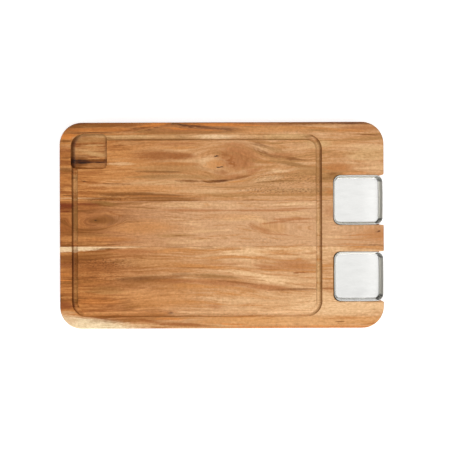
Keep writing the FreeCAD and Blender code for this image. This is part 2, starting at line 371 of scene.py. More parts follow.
def make_mark():
    """Mask of a mark in the wood, frayed along the grain: a streak, a patch or an arc, turned by degrees."""
    inputs = {
        **GRAIN, "Fray": 0.0, "Half Length": 30.0, "Half Width": 3.0, "Turn": 0.0, "Bow": 0.0,
        "Taper": 2.0, "Softness": 0.9, "Strength": 1.0, "Raggedness": 1.0,
    }
    tree, inside = new_group("Wood mark", inputs, ["Mask"])
    x = inside["Along"] - inside["X"]
    y = inside["Across"] - inside["Y"]
    angle = inside["Turn"].calc("RADIANS")
    cosine = angle.calc("COSINE")
    sine = angle.calc("SINE")
    u = abs((x * cosine + y * sine) / inside["Half Length"])
    v = abs((y * cosine - x * sine - u * u * inside["Bow"]) / inside["Half Width"])
    frayed = v ** MARK_POWER - inside["Fray"] * inside["Raggedness"]
    mask = ramp(u ** inside["Taper"] + frayed, 1.0, 1.0 - inside["Softness"])
    return finish_group(tree, {"Mask": mask * inside["Strength"]})


def make_figure():
    """Noises of the wood's bands, streaks, fibres, pores and specks, and its shimmer across the grain."""
    inputs = {"Along": 0.0, "Across": 0.0, "Depth": 0.0, "Seed": 0.0}
    tree, inside = new_group("Wood figure", inputs, [name for name in FIGURE if name != "Pore Zone"])
    drawn = {}
    for name, (length, width, seed, detail, roughness) in FIGURE.items():
        place = vector(tree, inside["Along"] / length, inside["Across"] / width, inside["Depth"] / width)
        drawn[name] = noise(place, inside["Seed"] + seed, detail, roughness)
    pore_zones = ramp(drawn.pop("Pore Zone"), *PORE_ZONES_FROM_TO)
    drawn["Pores"] = ramp(drawn["Pores"], *PORES_FROM_TO) * pore_zones
    drawn["Specks"] = ramp(drawn["Specks"], *SPECKS_FROM_TO)
    return finish_group(tree, drawn)


def make_finish():
    """Last layer of the oiled wood: fibres, pores, glue lines, painted light and shade in cuts, and end grain
    on a given colour.
    """
    inputs = {
        "Colour": (0.5, 0.3, 0.15, 1.0), "Streaks": 0.5, "Fibres": 0.5, "Shimmer": 0.5, "Pores": 0.0,
        "Specks": 0.0, "Depth": 0.0, "Position": (0.0, 0.0, 0.0), "Normal": (0.0, 0.0, 1.0),
        "Glue Line 1": 0.0, "Glue Line 2": 0.0,
    }
    tree, inside = new_group("Oiled finish", inputs, ("Colour", "Roughness", "Height"))
    depth = inside["Depth"]
    x, y, _ = split(tree, inside["Position"])
    facing_x, facing_y, _ = split(tree, inside["Normal"])

    shade = 1.0
    for name, strength in SWINGS.items():
        shade = ((inside[name] - 0.5) * strength + 1.0) * shade
    colour = tinted(inside["Colour"], shade)
    colour = tinted(colour, mix(tree, ramp(shade, *LIGHT_TO_DARK), LIGHT_LINES, DARK_LINES))
    for name, strength in SPOTS.items():
        colour = mix(tree, inside[name] * strength, colour, albedo("umber"))

    inward = -(x.calc("SIGN") * facing_x)
    along_within = ramp(abs(x), HALF_LENGTH - EDGE_END, HALF_LENGTH - EDGE_START)
    within = along_within * ramp(abs(y), HALF_WIDTH - EDGE_END, HALF_WIDTH - EDGE_START)
    cut = ramp(depth, *CUT_DEPTHS)
    # Painted light on the inner walls of grooves, which also keeps the end grain's tint off them.
    inner_wall_painted_light = ramp(inward, *INNER_TILTS) * ramp(depth, *SHALLOW_DEPTHS) * within
    end_grain = ramp(abs(facing_x), *END_GRAIN_TILTS) * (1.0 - inner_wall_painted_light)
    change = ramp(x, *MIDDLE) * CHANGE_TO_RIGHT
    # Painted shade on the outer walls of groove and well, which face the board's middle.
    outer_wall_painted_shade = ramp(inward, change + OUTER_TILTS[0], change + OUTER_TILTS[1]) * cut
    # Painted shade on the well's walls that face the board's middle.
    well_wall_painted_shade = ramp(inward, *WELL_TILTS) * ramp(depth, *WELL_DEPTHS)
    # Painted shade deep in cuts, end grain, painted light on inner walls, painted light and shade on walls
    # that face far or near, and painted shade on outer walls and the well's walls.
    colour = tinted(colour, DEEP_CUT_PAINTED_SHADE, ramp(depth, *DEEP_DEPTHS))
    colour = tinted(colour, END_GRAIN, end_grain)
    colour = tinted(colour, INNER_WALL_PAINTED_LIGHT, inner_wall_painted_light)
    colour = tinted(colour, facing_y * cut * within * SLOPE_SHADE + 1.0)
    colour = tinted(colour, OUTER_WALL_PAINTED_SHADE, outer_wall_painted_shade)
    colour = tinted(colour, WELL_WALL_PAINTED_SHADE, well_wall_painted_shade)
    for number in (1, 2):
        off = abs(y - inside[f"Glue Line {number}"])
        line = ramp(off, GLUE_EDGE, GLUE_CORE, 0.0, GLUE_STRENGTH)
        colour = mix(tree, line, colour, albedo("umber"))

    rough = inside["Fibres"] * FIBRE_ROUGHNESS + WOOD_ROUGHNESS
    rough = rough + inside["Pores"] * PORE_ROUGHNESS + end_grain * END_GRAIN_ROUGHNESS
    height = inside["Fibres"] * FIBRE_HEIGHT - inside["Pores"]
    return finish_group(tree, {"Colour": colour, "Roughness": rough, "Height": height})


grain_place = make_grain_place()
push = make_push()
eye = make_eye()
wood_mark = make_mark()
figure = make_figure()
oiled_finish = make_finish()


# The staves' own marks


def shape(strength, x, y, length, width, turn=0, bow=0, taper=2, soft=0.9, ragged=1):
    """A mark's strength, middle, half length and half width in millimetres, turn in degrees, bow and edge."""
    return {
        "Strength": strength, "X": x, "Y": y, "Half Length": length, "Half Width": width, "Turn": turn,
        "Bow": bow, "Taper": taper, "Softness": soft, "Raggedness": ragged,
    }


def mark(label, tone, *place, **edge):
    """A streak or a spot: its name, its tone and its shape."""
    return label, tone, shape(*place, **edge)


def patch(label, tone, *place, **edge):
    """A mark that fades all the way out from its middle."""
    return mark(label, tone, *place, soft=1, **edge)


def band(label, tone, *place, **edge):
    """A mark with blunt ends."""
    return mark(label, tone, *place, taper=4, **edge)


# Marks lie on the face, cut marks in the groove and the well, and specks where the pores are wide.
UPPER_MARKS = [
    # Broad tones
    patch("field left", "amber", 0.5, -140, 80, 66, 34),
    patch("tan foot", "tan", 0.55, -20, 55, 190, 9, taper=3),
    patch("golden right", "gold", 0.35, 130, 109, 60, 10),
    patch("right of groove", "sand", 0.8, 130, 110, 26, 8),
    patch("right arm", "sand", 0.7, 200, 96, 40, 12),
    patch("margin left", "russet", 0.22, -222, 92, 20, 40, taper=3),
    patch("wash over groove", "russet", 0.55, -60, 132, 120, 9, taper=4),
    patch("wash right end", "ginger", 0.65, 196, 132, 40, 7, taper=3),
    patch("dusk at right end", "russet", 0.35, 186, 131, 42, 5),
    patch("brown corner", "russet", 0.85, -204, 131, 24, 6),
    # Top margin, from the left end
    band("top edge left", "walnut", 0.95, -165, 137.5, 60, 5.6),
    mark("corner of top edge", "umber", 0.7, -190, 138.5, 14, 2.6),
    band("top edge middle", "russet", 0.75, -20, 138, 190, 4.6),
    mark("top edge right", "walnut", 0.85, 150, 138.4, 85, 3.4, taper=3),
    mark("knot on top edge right", "umber", 0.6, 178, 138, 24, 1.8),
    mark("stripe left", "orange", 0.55, -160, 130.5, 56, 3, taper=3),
    mark("thread in orange stripe", "russet", 0.6, -170, 131.5, 34, 0.7),
    mark("line over corner", "umber", 0.8, -180, 126.2, 46, 1.3, taper=3),
    band("orange corner", "orange", 0.9, -210, 121.5, 13, 4.6, soft=0.6),
    mark("line under corner", "walnut", 0.8, -211, 115, 12, 2.2, taper=3),
    mark("band rising", "orange", 0.9, -94, 136, 30, 3.4, 8),
    patch("streak under rising band", "umber", 0.7, -113, 131.5, 24, 2.4, 8, ragged=1.8),
    mark("olive patch", "olive", 0.85, -88, 128, 30, 4.6),
    mark("knot in olive patch", "umber", 0.8, -97, 130, 5.5, 1.5),
    mark("second knot in olive patch", "umber", 0.7, -87, 133, 4.5, 1.2),
    mark("top margin", "clay", 0.75, -45, 128, 60, 5.4, taper=3),
    patch("dusk over groove", "russet", 0.5, -50, 131, 16, 4),
    mark("thread left", "orange", 0.8, -60, 131.2, 26, 1.7, -3),
    patch("black streak", "soot", 0.85, -58, 136.3, 19, 3, -5, ragged=1.6),
    patch("streak after it", "umber", 0.85, -28, 133.6, 38, 3, -4, ragged=1.8),
    patch("tail of dark streak", "umber", 0.95, 14, 129.8, 26, 3, -2, ragged=1.8),
    mark("over streaks", "orange", 0.9, 6, 136.6, 62, 2.6, -1.5),
    mark("under streaks", "orange", 0.6, -24, 129.5, 30, 1.4, -3),
    mark("over groove", "olive", 0.6, -30, 126, 70, 2, taper=3),
    patch("top right", "amber", 0.75, 62, 130, 60, 5.6, taper=3),
    mark("stripe right", "amber", 0.8, 140, 130.5, 70, 3, -3, taper=3),
    mark("thread in amber stripe", "russet", 0.6, 120, 132.2, 40, 0.8, -5),
    mark("second thread", "ginger", 0.7, 175, 127.5, 44, 0.9, -4),
    mark("right end line", "walnut", 0.9, 198, 122.6, 30, 1.2, -1.5),
    # Left margin, downwards
    band("grey-brown margin", "clay", 0.6, -213, 105, 10, 6),
    band("lines in margin", "walnut", 0.6, -212, 92, 9, 1.6),
    band("dark margin", "walnut", 0.75, -212, 75, 12, 4.6),
    band("orange margin", "orange", 0.15, -212, 64, 10, 3.4),
    patch("amber margin", "amber", 0.9, -212, 50.5, 12, 4),
    mark("line low left", "amber", 0.9, -192, 47.6, 40, 1.6, taper=3),
    patch("over low lines", "amber", 0.7, -203, 51.5, 26, 4.5),
    mark("line on glue", "straw", 0.8, -192, 37.2, 40, 1.8, taper=3),
    mark("dots between lines", "umber", 0.7, -207, 41, 13, 0.9, taper=3),
    # Field left of the eye
    patch("field top left", "honey", 0.7, -125, 112, 32, 4.6),
    patch("under groove", "clay", 0.55, 24, 110.5, 28, 4),
    mark("streak top left", "russet", 0.8, -146, 107, 11, 1.1),
    patch("amber glow", "amber", 0.7, -134, 98, 20, 6),
    patch("by well", "straw", 0.75, -137, 84, 24, 3.6),
    patch("red patch", "russet", 0.9, -86, 95, 48, 10),
    patch("patch core", "russet", 0.85, -54, 94, 24, 6),
    mark("over red patch", "amber", 0.75, -55, 105.5, 34, 2.4),
    mark("streaks under groove", "clay", 0.75, -58, 111, 34, 3),
    mark("under red patch", "ginger", 0.75, -62, 83, 40, 4.4),
    mark("streaks left", "russet", 0.65, -177, 72.5, 22, 3),
    patch("dark streak", "walnut", 0.95, -84, 72.8, 40, 2.8, -1),
    mark("streak core", "umber", 0.6, -70, 72.5, 16, 1.5),
    patch("under dark streak", "olive", 0.7, -88, 66, 44, 4.6),
    patch("band left", "sand", 0.4, -80, 57.5, 50, 2.8),
    mark("thin line left", "walnut", 0.85, -142, 57, 30, 0.9, -2),
    mark("left pin knot", "soot", 1, -187, 60.7, 3, 1.5, soft=0.8, ragged=0.4),
    patch("foot left", "amber", 0.65, -100, 51, 78, 5),
    # Dark bands over the glue line
    patch("upper dark band", "walnut", 0.9, -112, 41.8, 74, 4, -1.2, taper=3),
    patch("lower dark band", "walnut", 0.75, -88, 37.2, 62, 2.6, -0.6, taper=3),
    mark("between bands", "ginger", 0.75, -90, 40, 50, 1.4, -1),
    patch("core of lower band", "umber", 0.15, -32, 37, 18, 2.4),
    mark("foot of bands", "walnut", 0.8, -75, 34.2, 60, 1.4, taper=3),
    patch("speckled foot left", "walnut", 0.75, -160, 36.5, 40, 3.6, -1),
    # The eye
    patch("brown round the eye", "clay", 0.9, 22, 92, 36, 24),
    patch("pale crown", "honey", 0.5, -13, 106, 14, 6),
    patch("left of eye", "moss", 0.55, -64, 77, 64, 10),
    patch("pale heart", "straw", 0.9, -17, 86, 15, 9),
    patch("heart core", "wheat", 0.3, -20, 86, 8, 4),
    patch("amber heart", "amber", 0.75, -8, 83, 18, 8),
    patch("beside heart", "clay", 0.55, 24, 80, 28, 7),
    patch("crescent", "russet", 0.75, 13, 89, 13, 4.6, -60, bow=-3),
    patch("crescent core", "russet", 0.5, 17, 82, 5, 4, 80),
    patch("crescent head", "russet", 0.6, 3, 96, 9, 4.4, -35),
    patch("outer crescent", "russet", 0.35, 31, 87, 14, 5, -78, bow=-3),
    patch("upper foot of eye", "russet", 0.55, 0, 72, 12, 4.4),
    patch("lower foot of eye", "clay", 0.8, 10, 66, 30, 6),
    mark("pale arc", "tan", 0.55, 18, 70.5, 20, 1.8, 14, bow=1.5),
    mark("upper pin knot", "soot", 1, -8, 94, 3.3, 1.5, 14, soft=0.8),
    mark("lower pin knot", "soot", 1, -2, 79.2, 3, 1.1, soft=0.8),
    # Arcs under the eye
    patch("olive bowl", "moss", 0.85, -30, 66, 44, 4.6),
    patch("dark arc", "walnut", 0.95, -8, 59.8, 28, 3.2, 3, bow=1.5),
    patch("arc core", "umber", 0.7, 0, 60.4, 11, 2.2, 4),
    patch("arc left", "walnut", 0.8, -46, 60.2, 20, 2.8, -3),
    patch("dark arc right", "walnut", 0.7, 25, 64.8, 18, 2.6, 13),
    patch("arc tail", "clay", 0.75, 44, 73, 20, 4, 30),
    mark("under arc", "amber", 0.9, 20, 59, 20, 1.5, 6),
    mark("pale under arc", "honey", 0.85, -15, 55, 50, 1.8, bow=2),
    mark("moss line", "olive", 0.6, 5, 51.8, 60, 1, bow=3),
    mark("light line", "straw", 0.7, 5, 47.2, 40, 0.9),
    patch("moss band", "moss", 0.75, 5, 41, 56, 4),
    # Right of the eye
    patch("first diagonal", "walnut", 0.6, 54, 109.5, 20, 3, -22),
    patch("second diagonal", "walnut", 0.72, 55, 99, 21, 4.2, -26, bow=1),
    patch("second diagonal foot", "umber", 0.6, 71, 93.8, 14, 3, -8),
    patch("second diagonal tail", "walnut", 0.75, 98, 90, 26, 3.2, -8),
    patch("third diagonal", "olive", 0.85, 100, 82, 36, 3.6, -8),
    patch("pale between diagonals", "tan", 0.6, 46, 105, 18, 2.2, -24),
    patch("between diagonals", "moss", 0.7, 75, 101, 22, 4, -18),
    patch("over diagonals", "clay", 0.7, 82, 95, 26, 5),
    patch("corner of field", "tan", 0.8, 104, 109, 30, 5),
    patch("streaks right of eye", "ginger", 0.6, 58, 86, 20, 3, -8),
    patch("right field", "moss", 0.8, 128, 74, 36, 9),
    patch("patch right", "wheat", 0.85, 76, 73.5, 17, 3.2),
    patch("pale arc right", "straw", 0.85, 62, 63, 28, 4.4, 8),
    mark("arc right", "olive", 0.7, 70, 59.5, 26, 1.8, 4),
    patch("band low right", "tan", 0.8, 76, 53.4, 30, 3.4),
    patch("speckled band", "moss", 0.65, 106, 46.5, 58, 4.8, taper=4),
    patch("beside tray", "olive", 0.45, 136, 50, 18, 5),
    band("over glue line", "tan", 0.8, 80, 38, 66, 2.2),
    mark("line over glue line", "walnut", 0.6, 38, 34.5, 10, 0.8),
    # The arm
    patch("red mottle", "ginger", 0.8, 156, 78, 28, 10),
    patch("patch by tray", "olive", 0.9, 151, 66, 22, 7, 12),
    mark("tip of it", "walnut", 0.6, 150, 69, 9, 1.6, 10),
    patch("by tray", "orange", 0.35, 182, 70, 24, 3.4),
    patch("streaks beside tray", "ginger", 0.7, 146, 45, 10, 8),
]

UPPER_CUT_MARKS = [
    mark("groove tone top", "sand", 0.6, -60, 120, 190, 7, taper=6),
    mark("groove left", "sand", 0.6, -128, 120.5, 36, 5, taper=3),
    mark("cream groove", "straw", 0.9, -4, 120.5, 54, 6, taper=3),
    mark("groove core", "ivory", 0.75, -10, 120.5, 34, 4),
    mark("pale groove right", "sand", 0.95, 88, 120.5, 31, 5, taper=6, soft=0.5),
    mark("end of groove", "olive", 0.7, 120, 121, 9, 2.4),
    # Painted shade: dark lines along the foot of the groove's inner wall.
    mark("painted shade at foot of groove", "walnut", 0.75, -50, 116.9, 120, 0.9, taper=6),
    mark("painted shade at foot right", "olive", 0.8, 90, 116.3, 40, 1, taper=5),
    patch("groove right", "moss", 0.7, 132, 78, 10, 42, taper=8),
    patch("well floor", "sand", 0.5, -178, 100, 36, 12, taper=6),
    patch("head of well", "moss", 0.75, -178, 117, 34, 10, taper=5),
    mark("pale head of well", "sand", 0.6, -172, 121.5, 24, 2.4),
    patch("in well", "amber", 0.3, -190, 99, 20, 3.4),
    patch("thread high in well", "sand", 0.6, -176, 110, 28, 2),
    mark("well streak", "russet", 0.4, -186, 105.8, 12, 1.3),
    mark("second well streak", "clay", 0.7, -172, 113, 22, 1.2),
    mark("pale well streak", "sand", 0.7, -178, 100, 24, 2, -8),
    mark("well corner", "sand", 0.8, -167, 95.5, 18, 3.6),
    patch("upper band in well", "walnut", 0.75, -198, 91.8, 18, 3.2, taper=3),
    mark("upper line in well", "walnut", 1, -176, 89.4, 38, 2, taper=5, ragged=0.5),
    patch("lower band in well", "soot", 0.95, -195, 86.8, 20, 4, taper=2.5, ragged=1.5),
    patch("lower line in well", "umber", 0.95, -180, 87, 34, 2.1, taper=3, ragged=0.6),
    mark("thread in well", "soot", 0.8, -182, 86.4, 24, 0.8, taper=3, ragged=1.2),
    band("pale thread in well", "ginger", 0.5, -166, 88.3, 12, 0.5, ragged=0.3),
    band("foot of well", "gold", 0.7, -168, 81.2, 20, 2.8, ragged=0.7),
    # Painted shade in the well's lower left corner.
    patch("painted shade low in well", "walnut", 0.5, -199, 82, 12, 6),
    mark("groove tone left", "moss", 0.85, -200, 56, 10, 24, taper=8),
    mark("groove high left", "gold", 0.4, -200, 55, 10, 9, taper=8),
    mark("groove tone low left", "olive", 0.65, -200, 36, 10, 6, taper=8),
    band("notch in groove", "umber", 0.7, -200, 65, 6, 0.8),
]

MIDDLE_MARKS = [
    patch("brown margin", "russet", 0.5, -222, -2, 34, 22, taper=3),
    patch("low margin", "amber", 0.5, -200, -18, 44, 8),
    patch("lowest left", "amber", 0.65, -180, -25, 38, 3.4),
    mark("patch at left end", "brick", 0.95, -216, 26.5, 18, 6.4, taper=5),
    mark("thread in brick patch", "russet", 0.7, -213, 21.5, 9, 0.8),
    mark("foot of brick patch", "brick", 0.8, -213, 19.5, 12, 1.4),
    mark("tail in field", "brick", 0.75, -182, 28.6, 24, 3, -3),
    patch("round brick tail", "russet", 0.7, -178, 25, 26, 5, -3),
    patch("streak under glue line", "olive", 0.95, -160, 30.2, 26, 4.2, -8),
    mark("edge of it", "walnut", 0.8, -162, 28, 24, 1.2, -10),
    patch("under glue line", "honey", 0.5, -95, 29, 46, 3),
    mark("line under it", "olive", 0.85, -112, 24, 38, 1, -4),
    patch("left field", "clay", 0.6, -178, 14, 22, 6),
    patch("dark heart", "walnut", 0.75, -160, 8, 22, 9),
    mark("edge of heart above", "russet", 0.6, -146, 16, 20, 1.6, -22),
    mark("edge of heart below", "russet", 0.6, -148, 0, 20, 1.6, 14),
    mark("pin knot left", "soot", 0.9, -171.5, 7.3, 2.4, 1.3),
    patch("lower limb", "walnut", 0.55, -180, -6, 42, 5, 5),
    patch("low left", "olive", 0.4, -172, -13, 34, 4),
    patch("under limb", "ginger", 0.7, -150, -19, 44, 4),
    patch("tan middle", "amber", 0.55, -105, -1, 58, 12),
    patch("under it", "ginger", 0.25, -85, -6, 66, 9),
    patch("stripe middle", "straw", 0.55, -20, 27.5, 90, 4.4, taper=3),
    patch("mottle 1", "amber", 0.5, -19, 28, 5, 3),
    patch("mottle 2", "amber", 0.4, -50, 25, 6, 2),
    patch("mottle 3", "amber", 0.4, 28, 30, 6, 2),
    band("stripe left", "clay", 0.75, -34, 20.2, 50, 2.1),
    band("stripe right", "clay", 0.75, 56, 20.2, 56, 2),
    patch("stripe under it", "amber", 0.35, 12, 11, 50, 6),
    mark("brown thread", "clay", 0.6, -62, 6.4, 22, 1),
    mark("low middle", "moss", 0.8, -62, -13.5, 34, 3),
    mark("fleck low middle", "walnut", 0.85, -58, -14, 9, 0.9),
    patch("pale low middle", "straw", 0.7, -32, -20, 34, 2.6),
    patch("pin knot", "olive", 1, -27, -18.2, 2.4, 1.3),
    mark("on glue line", "olive", 0.4, -66, -26.6, 18, 1.8),
    patch("moss spot", "moss", 0.6, 5, -17, 4, 3),
    patch("tongue", "honey", 0.7, 66, -4, 28, 11, taper=3),
    patch("tongue core", "clay", 0.6, 56, -6.5, 15, 5, -25),
    patch("tongue tip", "clay", 0.6, 42, -2, 8, 5, -50),
    mark("tongue edge above", "clay", 0.75, 78, 4.6, 32, 2.1, 7),
    mark("tongue edge below", "clay", 0.6, 78, -12.4, 24, 1.3, -4),
    mark("pale stripe right", "wheat", 0.75, 98, 28.5, 34, 3),
    mark("farther stripe right", "clay", 0.75, 100, 22.2, 34, 1.3),
    mark("pale stripe right lower", "straw", 0.8, 98, 15.5, 34, 3.4),
    mark("stripe right lower", "clay", 0.8, 98, 8.2, 38, 2.4),
    mark("stripe lowest", "clay", 0.5, 100, 3.4, 30, 1.2),
    mark("fleck by tongue", "clay", 0.7, 57, 8.4, 3.4, 1),
    patch("streaks beside tray", "clay", 0.5, 148, 18, 12, 12),
    patch("dusk on middle arm", "ginger", 0.7, 226, -14, 52, 18),
    mark("thread on arm", "ginger", 0.7, 188, -14, 26, 1, 2),
    mark("second thread on arm", "ginger", 0.6, 180, -20, 30, 1, -3),
    patch("arm pin knot", "umber", 1, 211.5, -9, 3.4, 1.9, ragged=0.4),
    mark("streak at arm's end", "walnut", 0.9, 206, -27.2, 20, 1),
    mark("foot of arm", "ginger", 0.6, 175, -26.5, 30, 2),
]

MIDDLE_CUT_MARKS = [
    mark("groove tone left", "olive", 0.8, -200, 10, 10, 26, taper=8),
    mark("groove tone low left", "moss", 0.5, -200, -15, 10, 10, taper=8),
    patch("groove tone right", "sand", 0.6, 132, 2, 10, 36, taper=8),
]

LOWER_MARKS = [
    # Broad tones
    patch("left end", "ginger", 0.55, -230, -76, 30, 20, taper=3),
    patch("over smear", "russet", 0.4, -184, -64, 50, 6),
    patch("lower right", "straw", 0.6, 150, -112, 120, 26, taper=4),
    patch("lower right corner", "wheat", 0.9, 160, -111, 90, 14, taper=3),
    patch("beside tray", "wheat", 0.7, 136, -96, 20, 8),
    patch("lower middle", "straw", 0.6, 55, -101, 100, 15),
    patch("bottom margin", "gold", 0.7, 110, -130, 150, 9, taper=4),
    band("bottom edge", "orange", 0.7, 120, -138.6, 130, 3.2),
    patch("left middle", "amber", 0.6, -90, -100, 70, 18),
    # Under the upper glue line
    patch("dark zone under sapwood", "walnut", 0.55, -190, -42.5, 58, 8, 5, taper=3),
    patch("brown zone under it", "russet", 0.62, -178, -54, 54, 10),
    patch("margin under sapwood", "brick", 0.45, -213, -54, 14, 5, taper=4),
    mark("thread in zone", "orange", 0.7, -140, -36, 16, 1.2, 4),
    mark("by glue line", "amber", 0.8, -72, -34, 36, 3.6, 4),
    patch("honey run", "honey", 0.85, -96, -50, 66, 8),
    patch("middle left", "tan", 0.45, -35, -48, 34, 6),
    patch("by wedge", "clay", 0.95, -120, -35, 46, 5),
    mark("line by glue line", "walnut", 0.7, -66, -29.4, 22, 0.9),
    patch("patch by glue line", "walnut", 0.4, -18, -30.5, 13, 2),
    mark("tail of dark patch", "olive", 0.3, -30, -33.4, 14, 1.2),
    mark("olive fleck", "olive", 0.7, 20, -33, 8, 1.2),
    patch("right of middle", "wheat", 0.85, 36, -37, 44, 7.5),
    patch("along glue line", "wheat", 0.7, 120, -33, 76, 5.6, taper=3),
    mark("line 1", "clay", 0.35, -40, -40.5, 26, 1),
    mark("line 2", "clay", 0.3, -35, -49, 32, 1.2),
    mark("line 3", "clay", 0.7, 6, -52.5, 40, 1.4),
    mark("line middle", "walnut", 0.75, -34, -57.4, 30, 0.8),
    mark("sapwood wedge", "ivory", 0.93, -234, -28.2, 128, 9.6, taper=0.9, soft=0.4, ragged=0.4),
    mark("tip of wedge", "wheat", 0.9, -140, -29.4, 50, 2.3, 1, taper=1.5, ragged=0.5),
    # Left margin
    patch("deep orange margin", "orange", 0.35, -213, -66, 12, 3, taper=4),
    band("line in margin", "orange", 0.85, -212, -74, 12, 1.5),
    band("lines in margin", "amber", 0.7, -212, -97, 12, 2.2),
    band("spot in margin", "brick", 0.6, -213, -108.5, 14, 6.5),
    # Left field
    patch("field left", "olive", 0.5, -160, -87.5, 36, 8),
    patch("low left", "ginger", 0.5, -180, -97, 40, 5),
    mark("threads in it", "walnut", 0.6, -176, -90, 16, 1.4),
    patch("over dark row", "ginger", 0.75, -180, -76, 36, 4.5),
    patch("field low left", "orange", 0.4, -165, -103, 40, 7),
    mark("thread low left", "russet", 0.6, -165, -98.5, 26, 1),
    mark("foot low left", "russet", 0.7, -172, -115.4, 20, 2),
    # The smear and the light streak
    patch("smear", "walnut", 0.75, -104, -72.4, 50, 6.4, 2),
    patch("smear core", "umber", 0.2, -112, -72, 16, 3.2),
    mark("smear left end", "umber", 0.4, -134, -73, 9, 1.8),
    patch("foot of smear", "russet", 0.75, -62, -75.5, 38, 5),
    patch("head of smear", "walnut", 0.55, -58, -67.5, 20, 4.6, 5),
    patch("olive bow", "olive", 0.8, -10, -69, 44, 4, -4, bow=-1.5),
    patch("under bow", "clay", 0.9, -4, -77.5, 52, 7, -3),
    patch("brown tail", "clay", 0.9, 62, -83.6, 46, 6, -4),
    patch("dark line", "walnut", 0.6, 18, -77.2, 44, 1.4, -6),
    patch("line right", "walnut", 0.7, 101, -87.4, 36, 2.2, taper=3),
    mark("line beside tray", "russet", 0.8, 146, -86, 13, 2),
    patch("light streak", "wheat", 1, 38, -66.5, 46, 4.2, -9),
    patch("light streak body", "wheat", 0.9, 76, -74.5, 34, 5.6, -9),
    patch("light streak end", "straw", 0.6, 108, -76, 24, 5),
    mark("edge of streak", "tan", 0.6, 66, -79.6, 26, 1.4, -8),
    # Right field
    patch("red patch", "clay", 0.65, 98, -55, 36, 11, -4),
    patch("patch left", "clay", 0.75, 62, -56, 24, 4.4, -8),
    mark("line in it", "russet", 0.9, 108, -64.2, 12, 1.2),
    patch("spot in it", "ginger", 0.8, 105, -46, 6, 3),
    mark("line left of it", "russet", 0.6, 62, -60, 20, 1, -4),
    mark("edge of patch", "straw", 0.7, 118, -69, 20, 1.6),
    patch("mottle by bottom", "clay", 0.6, -8, -110, 12, 5),
    mark("thread right", "honey", 0.8, 70, -100, 36, 0.9, -1),
    mark("second thread right", "honey", 0.7, 80, -110, 40, 0.9, 2),
    # Bottom
    mark("sapwood corner", "cream", 0.84, -224, -141, 147, 24, taper=0.9, soft=0.45, ragged=0.4),
    patch("core of sapwood", "cream", 0.6, -164, -137, 44, 4),
    patch("corner of sapwood", "tan", 0.45, -210, -129, 16, 9),
    patch("fringe of sapwood", "tan", 0.8, -210, -117.5, 18, 3.4),
    mark("first streak at bottom", "russet", 0.85, -104, -128.2, 24, 2.4, -10),
    mark("by red streak", "orange", 0.6, -70, -127, 26, 2.2, -2),
    patch("at bottom", "amber", 0.6, -20, -131, 34, 5),
    mark("second streak at bottom", "russet", 0.9, -54, -134.4, 50, 3.4, -3),
    mark("thread at bottom", "orange", 0.8, 15, -134, 26, 1.2, -2),
    patch("knot by bottom groove", "umber", 0.6, -69, -117.4, 4.5, 2, ragged=0.6),
    mark("streak of knot", "walnut", 0.6, -92, -116.4, 14, 1.2),
    mark("fleck in right corner", "walnut", 0.85, 162, -131, 7, 1),
    mark("streak in right corner", "ginger", 0.7, 170, -126.4, 26, 1.2),
    mark("second streak in corner", "ginger", 0.8, 200, -134, 14, 1.4, 8),
]

LOWER_CUT_MARKS = [
    mark("groove under sapwood", "walnut", 0.65, -200, -46, 10, 20, taper=8),
    patch("groove tone left", "olive", 0.55, -200, -86, 10, 34, taper=3),
    mark("groove corner", "amber", 0.6, -196, -113, 9, 6),
    band("groove tone bottom", "amber", 0.6, -130, -120, 66, 5),
    mark("knot in bottom groove", "umber", 0.45, -68, -119, 4.5, 2.2),
    mark("groove middle", "straw", 0.8, 20, -120, 88, 7, taper=6),
    band("groove right", "wheat", 0.8, 88, -120, 44, 6),
    patch("groove corner right", "wheat", 0.75, 129, -112, 10, 9),
    # Painted shade: thin dark lines along the groove's outer wall.
    mark("painted shade on outer foot left", "walnut", 0.35, -90, -123.3, 100, 1, taper=5),
    mark("painted shade on outer foot right", "ginger", 0.35, 60, -123.3, 66, 0.9, taper=5),
    patch("pale groove right", "sand", 0.8, 132, -70, 9, 42, taper=6),
]

# The staves. Left and right: tones from dark to light at either end, which turn between two places.
# Bulges: x, y, half length, half width, shift. Eyes: x, y, stretch, radius. All in millimetres.
STAVES = {
    "upper_stave": {
        "seed": 3.0,
        "lean": 0.55,
        "left": ("russet", "ginger", "amber", "honey"),
        "right": ("moss", "honey", "tan", "straw"),
        "turn": (-215, 60),
        "bulges": [(8, 107, 44, 22, 15), (6, 64, 44, 19, -12), (70, 96, 40, 18, -4), (-90, 95, 40, 16, 3)],
        "eyes": [],
        "marks": UPPER_MARKS,
        "cut marks": UPPER_CUT_MARKS,
        "specks": {
            "right band": shape(0.7, 80, 47, 64, 7, taper=4),
            "left foot": shape(0.9, -150, 35.5, 36, 2.4, taper=3),
            "right field": shape(0.5, 90, 62, 60, 14, taper=3),
        },
    },
    "middle_stave": {
        "seed": 17.0,
        "lean": -0.4,
        "left": ("walnut", "russet", "ginger", "clay"),
        "right": ("honey", "peach", "peach", "straw"),
        "turn": (-225, 10),
        "bulges": [(-60, -5, 90, 20, 3)],
        "eyes": [(150, -4, 7.0, 18), (-172, 5, 3.2, 14)],
        "marks": MIDDLE_MARKS,
        "cut marks": MIDDLE_CUT_MARKS,
        "specks": {
            "ripples": shape(0.35, 58, -21, 26, 7, taper=3),
        },
    },
    "lower_stave": {
        "seed": 29.0,
        "lean": 0.45,
        "left": ("walnut", "russet", "ginger", "amber"),
        "right": ("amber", "honey", "tan", "straw"),
        "turn": (-205, 0),
        "bulges": [(-55, -68, 85, 28, 8), (150, -82, 90, 26, -8)],
        "eyes": [],
        "marks": LOWER_MARKS,
        "cut marks": LOWER_CUT_MARKS,
        "specks": {
            "under sapwood": shape(0.85, -165, -52, 56, 11, -2, taper=3),
            "field left": shape(0.4, -165, -70, 50, 12, taper=3),
        },
    },
}

